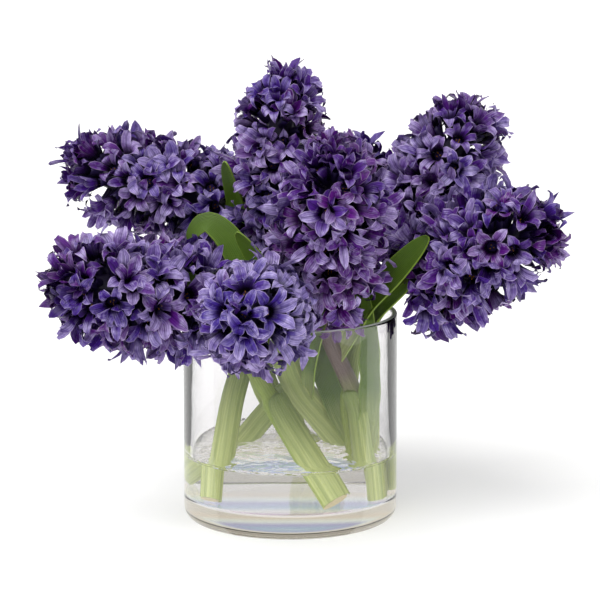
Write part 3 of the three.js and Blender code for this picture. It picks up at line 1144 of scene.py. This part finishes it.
# Rows run from inside the tube, over the mouth, to the tip.
SPREAD = PetalShape((2.8, 5.0, 8.6, 12.2, 15.2, 17.0), (15, 22.0, 25.8, 27.4, 27.2, 25.8))
BENT_BACK = PetalShape((2.8, 5.2, 8.8, 12.0, 14.2, 14.6), (15, 22.0, 25.4, 26.0, 23.6, 20.4), cup=0.8)
STANDING = PetalShape((2.8, 4.6, 7.4, 10.4, 13.2, 15.2), (15, 21.5, 26.6, 29.8, 31.4, 31.0), cup=1.2)
CURLED = PetalShape((2.8, 5.2, 9.0, 11.8, 12.0, 9.8), (15, 22.0, 25.2, 24.6, 20.8, 18.4), cup=-0.7)
CUPPED = PetalShape((2.8, 4.4, 6.6, 8.2, 9.2, 9.4), (15, 20.5, 24.6, 28.2, 31.2, 33.2), cup=1.5)
CLOSED = PetalShape(
    (2.6, 3.4, 4.2, 4.4, 3.2, 0.8), (15, 18.0, 21.0, 24.0, 26.6, 28.4), (3.2, 4.4, 5.2, 5.0, 3.8, 0.7), 0.3
)


class Bloom(Enum):
    """How far a floret has opened: its outer and its inner petals."""

    STAR = (SPREAD, STANDING)
    REFLEXED = (BENT_BACK, SPREAD)
    ROLLED = (CURLED, STANDING)
    CUP = (STANDING, CUPPED)
    BUD = (CLOSED, CLOSED)


@dataclass
class FloretModel:
    """One floret along +Z with its root at the origin: a waxy tube, six petals and the anthers."""

    bloom: Bloom
    seed: int
    breadth: float = 1.0  # how wide its petals are, against their shapes
    reach: float = 1.0  # how far they spread, against their shapes
    tube: tuple[Pair, ...] = ((1.1, 0), (1.4, 4), (3.0, 8), (2.8, 13), (3.3, 16.5))
    tube_sides: int = 6
    anther_height: float = 17.5
    anthers: int = 3
    columns: int = 2
    curl: float = 5.4  # how far a petal's tip may bend away from its shape
    bends: Pair = (-1, 0.8)  # the shares of that, from down to up
    sway: float = 3  # how far its tip may lean to either side
    stretch: Pair = (0.84, 1.1)  # how far out it may grow, against its shape
    fullness: Pair = (0.8, 1.12)  # and how wide
    twist: float = 1.3  # how far one margin may rise and the other sink
    ruffle: float = 1  # how far each corner may rise or sink
    turn: float = 0.14  # how far a petal may turn about the tube, in radians

    def petal(self, shape: PetalShape, chance: random.Random) -> Object:
        """Models one petal from a flat grid, row by row.

        Args:
            shape: Where its rows lie.
            chance: The source of small differences.

        Returns:
            The petal, along +Y and up.
        """
        rows = len(shape.radii)
        made = grid(self.columns, rows - 1)
        light = chance.random()
        placed(made, lambda v: ((v.co.x + 1) / 2, 0.4 + 0.6 * (v.co.y + 1) / 2, 0.5, light))
        made.data.transform(Matrix.Scale(MM, 4))
        bpy.ops.object.mode_set(mode="EDIT")
        flat = [(2 * i / (rows - 1) - 1) * MM for i in range(rows)]
        sway = chance.uniform(-self.sway, self.sway)
        bend = chance.uniform(*self.bends) * self.curl
        stretch = chance.uniform(*self.stretch)
        wide_by = self.breadth * chance.uniform(*self.fullness)
        twist = chance.uniform(-self.twist, self.twist)
        for i, (radius, height, width) in enumerate(zip(shape.radii, shape.heights, shape.widths)):
            far = i / (rows - 1)
            out = radius * (self.reach * stretch if i > 1 else 1)
            middle = Vector((sway * far**2, out, height + bend * far**3)) * MM
            before, after = max(0, i - 1), min(rows - 1, i + 1)
            steps = [row[after] - row[before] for row in (shape.radii, shape.heights)]
            run = Vector((0, *steps)).normalized()
            lift = Vector((0, -run.z, run.y)) * shape.cup * min(1, width / 6) * MM
            here = flat[i]
            mark(made, lambda co: abs(co.y - here) < 1e-6 and abs(co.z) < 1e-9)
            bpy.ops.transform.resize(value=(width / 2 * wide_by, 1, 1), center_override=(0, here, 0))
            bpy.ops.transform.translate(value=middle - Vector((0, here, 0)))
            for side in (-1, 1):
                edge = middle.x + side * width / 2 * wide_by * MM
                mark(
                    made,
                    lambda co: (co - middle).length < 6 * MM
                    and abs(co.x - edge) < 1e-5
                    and abs(co.z - middle.z) < 1e-5,
                )
                ruffle = chance.uniform(-self.ruffle, self.ruffle) * MM if i > 1 else 0
                bpy.ops.transform.translate(value=lift + Vector((0, 0, ruffle + side * twist * far * MM)))
        bpy.ops.object.mode_set(mode="OBJECT")
        return made

    def build(self, skins: Sequence[Material]) -> Object:
        """Models the floret.

        Args:
            skins: The finishes of the petals, the tube and the anthers.

        Returns:
            The floret.
        """
        chance = random.Random(self.seed)
        outer, inner = self.bloom.value
        parts = []
        for k in range(6):
            petal = self.petal(inner if k % 2 else outer, chance)
            turn = k * math.pi / 3 + chance.uniform(-self.turn, self.turn)
            petal.data.transform(Matrix.Rotation(turn, 4, "Z"))
            parts.append(coated(petal, skins[0]))
        tube = rings_up(self.tube, self.tube_sides)
        high = self.tube[-1][1]
        placed(tube, lambda v: (0.5, 0.4 * v.co.z / MM / high, 0.5, 0.5))
        parts.append(coated(tube, skins[1]))
        for k in range(self.anthers if self.bloom is not Bloom.BUD else 0):
            clear_selection()
            bpy.ops.mesh.primitive_cone_add(
                vertices=3, radius1=0.7 * MM, radius2=0.3 * MM, depth=3 * MM,
                location=(1.3 * MM, 0, self.anther_height * MM),
            )
            anther = bpy.context.object
            bpy.ops.object.transform_apply(location=True)
            anther.data.transform(Matrix.Rotation(k * math.tau / self.anthers + 0.3, 4, "Z"))
            placed(anther, lambda v: (0.5, 0.5, 0.5, 0.5))
            parts.append(coated(anther, skins[2]))
        made = joined(parts, f"floret_model_{self.bloom.name.lower()}_{self.seed}")
        pick(made)
        bpy.ops.object.shade_smooth()
        return made


@dataclass
class FlowerHead:
    """One dense spike: florets in a golden spiral round a middle darkened as painted shade."""

    sizes: HyacinthSizes
    start: float  # the turn of its first floret, in radians, and the seed of its small differences
    droop: float = -0.25  # how far the lowest florets point up, in radians
    climb: float = 0.45  # how much steeper they point from there to the tip
    close: float = 1.25  # and how much steeper yet right at the tip
    taper: float = 0.14  # how much smaller the florets at the tip are
    push: float = 3.5  # how far outside the axis a floret's tube begins
    full_reach: float = 34  # how far from its axis the outermost petals reach, at full size
    painted_shade_to: float = 0.36  # how far out, as a share of that, the painted shade of the heads is at its darkest
    painted_shade_fade: float = 1.9  # how fast that painted shade fades from there
    budding: float = 0.985  # above this share of the head all florets are buds
    nod: float = 0.2  # how far florets nod out of line, in radians
    tones: float = 0.4  # how far they differ in tone
    shares: tuple[float, ...] = (1.0, 1.0, 1.0, 0.86, 0.86, 0.72, 0.72, 0.6)  # sizes to try in turn
    core: tuple[Pair, ...] = (
        (4.2, 0), (7, 0.12), (10, 0.3), (10.5, 0.7), (7, 0.88), (2, 0.96)
    )
    kinds: tuple[Bloom, ...] = (
        Bloom.STAR, Bloom.STAR, Bloom.REFLEXED, Bloom.REFLEXED, Bloom.ROLLED, Bloom.CUP
    )
    open_kinds: tuple[Bloom, ...] = (Bloom.REFLEXED, Bloom.REFLEXED, Bloom.STAR)

    def axis(self) -> tuple[Vector, Vector, float]:
        """The base of the spike, its direction and its length."""
        base = Vector(self.sizes.base)
        axis = Vector(self.sizes.tip) - base
        return base, axis.normalized(), axis.length

    def spiral(self) -> list[tuple[Matrix, float, float]]:
        """Where each floret grows.

        Returns:
            Each floret's place, its size and how far up the head it is.
        """
        base, axis, height = self.axis()
        side = square_to(axis, SLANT)
        count = round(height / self.sizes.spacing)
        made = []
        for i in range(count):
            u = 1 - (1 - (i + 0.5) / count) ** 1.25
            rise = self.droop + self.climb * u + self.close * u**8
            out = Quaternion(axis, self.start + i * GOLDEN_ANGLE) @ side
            way = out * math.cos(rise) + axis * math.sin(rise)
            along = self.sizes.first + (height - self.sizes.first - self.sizes.last) * u
            place = Matrix.Translation((base + axis * along + way * self.push) * MM) @ turned_to(way)
            made.append((place, self.sizes.full * (1 - self.taper * u**4), u))
        return made

    def middle(self, skin: Material) -> Object:
        """Models the spike's middle, out of sight between the tubes, dark with the tubes' painted shade.

        Args:
            skin: Its finish.

        Returns:
            The closed middle.
        """
        base, axis, height = self.axis()
        made = rings_up([(r, u * height) for r, u in self.core], 12)
        made.data.transform(Matrix.Translation((base + axis * 0.35) * MM) @ turned_to(axis))
        # along 0.1 picks the tube's dark root colour: painted shade
        placed(made, lambda v: (0.5, 0.1, 0.5, 0.5))
        return coated(made, skin)

    def build(
        self,
        models: dict[Bloom, list[Object]],
        neighbours: Sequence[BVHTree],
        skins: Sequence[Material],
    ) -> Object:
        """Models the whole head from copies of the floret models.

        Args:
            models: The floret models by how far they have opened.
            neighbours: What no floret may press into.
            skins: The finishes of petals, tubes and anthers.

        Returns:
            The head.
        """
        chance = random.Random(int(self.start * 101) + 7)
        parts = [self.middle(skins[1])]
        left_out = 0
        kinds = self.open_kinds if self.sizes.wide_open else self.kinds
        base, axis, height = self.axis()
        for place, size, u in self.spiral():
            tone = min(1, max(0, self.sizes.purple + chance.uniform(-self.tones, self.tones)))
            grown = None
            for share in self.shares:
                bloom = Bloom.BUD if u > self.budding else chance.choice(kinds)
                nods = [Matrix.Rotation(chance.gauss(0, self.nod), 4, way) for way in "XY"]
                spin = Matrix.Rotation(chance.uniform(0, math.tau), 4, "Z")
                grow = Matrix.Scale(size * share * chance.uniform(*self.sizes.growth), 4)
                attempt = copied(chance.choice(models[bloom]), place @ (nods[0] @ nods[1]) @ spin @ grow)
                tree = tree_of(attempt)
                if not any(tree.overlap(other) for other in neighbours):
                    grown = attempt
                    break
                dropped([attempt])
            if grown is None:
                left_out += 1
                continue
            # Painted shade: each petal's tone is made darker the nearer it lies to the head's axis, down to
            # black near the middle.
            shades = grown.data.color_attributes[PLACE].data
            for vertex, item in zip(grown.data.vertices, shades):
                far = vertex.co / MM - base
                out = (far - axis * min(height, max(0, far.dot(axis)))).length / (self.full_reach * size)
                item.color[2] = tone
                light = item.color[3] * 0.7 + 0.3 + self.sizes.pale
                item.color[3] = min(1, max(0, light * (out - self.painted_shade_to) * self.painted_shade_fade))
            parts.append(grown)
        LOG.info("%s: %d florets, %d left out", self.sizes.name, len(parts) - 1, left_out)
        return joined(parts, f"florets_{self.sizes.name}")


# --- Studio ---
@dataclass
class Studio:
    """The pale floor, the dark card, the soft light and the camera. Lengths are metres."""

    lens: float = 191.4  # mm
    eye: Triple = (0, -1.852, 0.485)
    aim: Triple = (0.0058, 0, 0.1312)
    card_width: float = 2.2
    card_height: float = 0.5
    card_middle: float = -0.55  # where its foot lies along Y
    ambient: float = 0.68
    bounces: int = 24  # so that no ray ends inside the glass and water

    def floor(self, paper: Material) -> Object:
        """Lays the floor.

        Args:
            paper: Its finish.

        Returns:
            The floor.
        """
        clear_selection()
        bpy.ops.mesh.primitive_plane_add(size=12, location=(0, 0, 0))
        made = coated(named(bpy.context.object, "studio_floor"), paper)
        return made

    def flag(self, felt: Material) -> Object:
        """Stands a dark card before the bouquet, with a foot that lies on the floor.

        Args:
            felt: Its finish.

        Returns:
            The card.
        """
        clear_selection()
        bpy.ops.mesh.primitive_plane_add(size=1, location=(0, self.card_middle, 0.0015))
        made = bpy.context.object
        bpy.ops.object.transform_apply(location=True)
        bpy.ops.object.mode_set(mode="EDIT")
        bpy.ops.transform.resize(value=(self.card_width, 1, 1), center_override=(0, self.card_middle, 0))
        mark(made, lambda co: co.y < self.card_middle)
        bpy.ops.mesh.extrude_region_move(TRANSFORM_OT_translate={"value": (0, 0, self.card_height)})
        bpy.ops.object.mode_set(mode="OBJECT")
        coated(named(made, "dark_card"), felt)
        for rays in ("camera", "diffuse", "shadow", "transmission"):
            setattr(made, f"visible_{rays}", False)
        return made

    def light(self, name: str, way: Triple, strength: float, spread: float) -> None:
        """Hangs one broad far light, whose soft light comes from one side.

        Args:
            name: Its name.
            way: Where it hangs, seen from the bouquet.
            strength: Its strength.
            spread: How broad it looks from the bouquet, in degrees.
        """
        lamp = bpy.data.lights.new(name, "SUN")
        lamp.energy = strength
        lamp.angle = math.radians(spread)
        made = bpy.data.objects.new(name, lamp)
        made.rotation_euler = (-Vector(way)).to_track_quat("-Z", "Y").to_euler()
        bpy.context.scene.collection.objects.link(made)

    def camera(self) -> None:
        """Sets the camera at the photograph's angle."""
        data = bpy.data.cameras.new("camera")
        data.lens = self.lens
        data.sensor_width = 36
        made = bpy.data.objects.new("camera", data)
        made.location = self.eye
        aim = Vector(self.aim) - made.location
        made.rotation_euler = aim.to_track_quat("-Z", "Y").to_euler()
        bpy.context.scene.collection.objects.link(made)
        bpy.context.scene.camera = made

    def surroundings(self) -> None:
        """Sets the even white light that comes from all round."""
        world = bpy.data.worlds.new("surroundings")
        world.use_nodes = True
        background = world.node_tree.nodes["Background"]
        background.inputs["Color"].default_value = (1, 1, 1, 1)
        background.inputs["Strength"].default_value = self.ambient
        scene = bpy.context.scene
        scene.world = world
        scene.view_settings.view_transform = "Standard"
        scene.cycles.max_bounces = scene.cycles.transmission_bounces = self.bounces


def main() -> None:
    """Builds, dresses and lights everything, in order."""
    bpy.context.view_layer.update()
    studio = Studio()
    studio.camera()
    studio.surroundings()
    studio.light("key", (-0.4, -0.6, 1.0), 2.0, 50)
    studio.flag(DARK_FELT.build())
    studio.floor(StudioPaper().build())

    # Glass tinted darker: painted shade for the shadow under the vase seen through its thick floor.
    shaded_base_glass = ClearGlass("painted_shade_base_glass", body="#c5beaf")
    glasses = [finish.build() for finish in (ClearGlass(), GROUND_RIM, shaded_base_glass)]
    vase = dress(Vase().build(glasses), Slot.GLASS, "vase")
    dress(coated(Water().build(), StillWater().build()), Slot.WATER, "water")

    leaf, scape, pith = LeafSkin().build(), ScapeSkin().build(), CutPith().build()
    stems = []
    for sizes in HYACINTHS:
        made = LeafyStem(sizes).build(leaf, scape, pith)
        stems.append(dress(made, Slot.LEAFY, f"leafy_stem_{sizes.name}"))

    skins = [PetalSkin().build(), TubeSkin().build(), Pollen().build()]
    builds = sorted({(sizes.breadth, sizes.reach) for sizes in HYACINTHS})
    models = {
        build: {
            bloom: [FloretModel(bloom, 10 * k + n, *build).build(skins) for n in range(4)]
            for k, bloom in enumerate(Bloom)
        }
        for build in builds
    }
    neighbours = [tree_of(vase), *map(tree_of, stems)]
    for number, sizes in enumerate(HYACINTHS):
        florets = models[sizes.breadth, sizes.reach]
        head = FlowerHead(sizes, float(number)).build(florets, neighbours, skins)
        dress(head, Slot.PETAL, f"flower_head_{sizes.name}")
    dropped(model for kinds in models.values() for kind in kinds.values() for model in kind)


if __name__ == "__main__":
    main()
